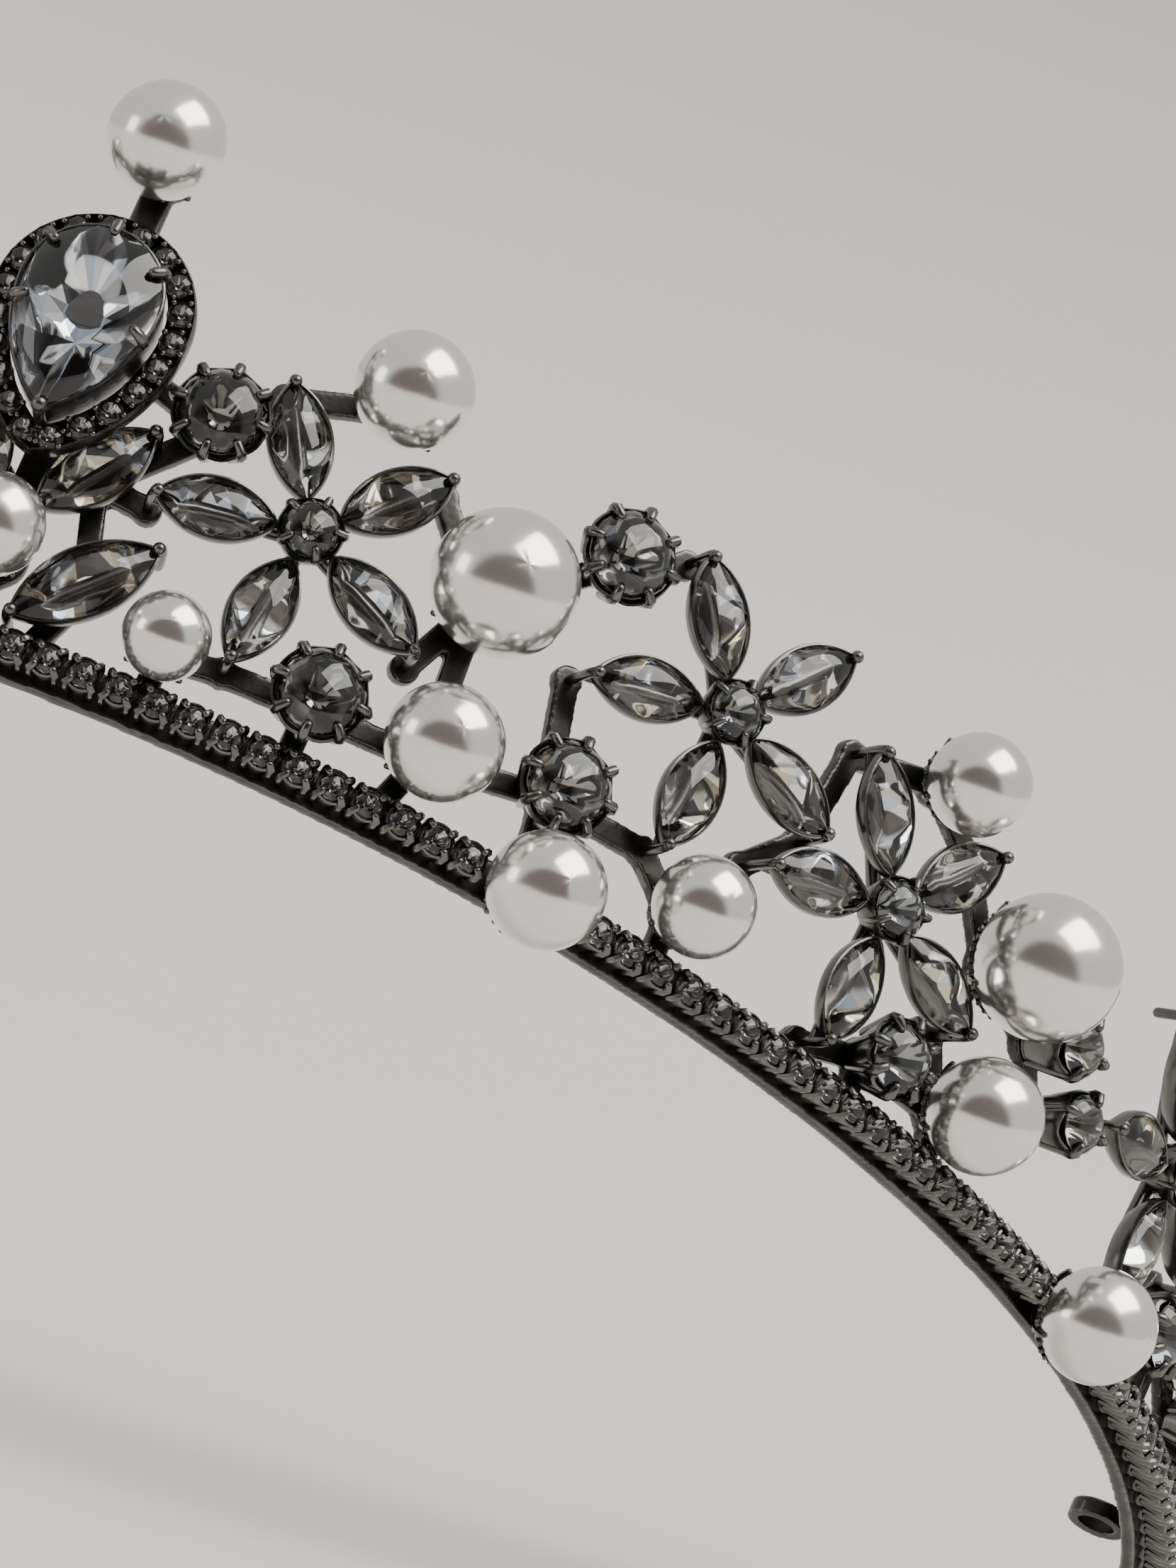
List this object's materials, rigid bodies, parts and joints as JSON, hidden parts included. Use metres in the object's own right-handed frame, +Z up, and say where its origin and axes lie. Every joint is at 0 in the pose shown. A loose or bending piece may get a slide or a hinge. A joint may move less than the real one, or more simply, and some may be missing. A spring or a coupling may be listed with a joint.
{
  "type": "bridal tiara",
  "caption": "Bridal tiara: an open dark metal hoop with jewelled flowers, leaves, pearls and a haloed pear-shaped centre stone, worn over the hair.",
  "frame": {"origin": "centre of the hoop, on the plane of the band's lower edge", "axes": "worn pose: +X to the right as seen from the front, -Y out of the front, +Z up; the hoop is tilted back 26 degrees with its front raised"},
  "size_m": [0.1798, 0.1018, 0.0869],
  "materials": {
    "dark_metal": "polished antique silver, dark in the recesses",
    "crystal": "faceted, mirror-backed",
    "pearl": "nacre, satin gloss"
  },
  "bodies": {
    "root": {"band_cups_left": "dark_metal", "band_cups_right": "dark_metal", "band_stones_left": "crystal", "band_stones_right": "crystal", "base_band": "dark_metal", "centre_pearl_cups": "dark_metal", "end_eyelet_left": "dark_metal", "end_eyelet_right": "dark_metal", "flower_centres_left": "crystal", "flower_centres_right": "crystal", "flower_setting_left_1": "dark_metal", "flower_setting_left_2": "dark_metal", "flower_setting_left_3": "dark_metal", "flower_setting_left_4": "dark_metal", "flower_setting_right_1": "dark_metal", "flower_setting_right_2": "dark_metal", "flower_setting_right_3": "dark_metal", "flower_setting_right_4": "dark_metal", "fretwork_centre": "dark_metal", "fretwork_left": "dark_metal", "fretwork_right": "dark_metal", "halo_stones": "crystal", "leaf_settings_left": "dark_metal", "leaf_settings_right": "dark_metal", "leaf_stones_left": "crystal", "leaf_stones_right": "crystal", "low_pearl": "pearl", "pear_halo": "dark_metal", "pear_setting": "dark_metal", "pear_stone": "crystal", "pearl_cups_left": "dark_metal", "pearl_cups_right": "dark_metal", "pearls_eight_mm_left": "pearl", "pearls_eight_mm_right": "pearl", "pearls_seven_mm_left": "pearl", "pearls_seven_mm_right": "pearl", "pearls_six_mm_left": "pearl", "pearls_six_mm_right": "pearl", "pearls_ten_mm_left": "pearl", "pearls_ten_mm_right": "pearl", "petal_stones_left_1": "crystal", "petal_stones_left_2": "crystal", "petal_stones_left_3": "crystal", "petal_stones_left_4": "crystal", "petal_stones_right_1": "crystal", "petal_stones_right_2": "crystal", "petal_stones_right_3": "crystal", "petal_stones_right_4": "crystal", "pin_loop_left": "dark_metal", "pin_loop_right": "dark_metal", "round_settings_left": "dark_metal", "round_settings_right": "dark_metal", "round_stones_left": "crystal", "round_stones_right": "crystal", "top_pearl": "pearl"}
  },
  "joints": []
}
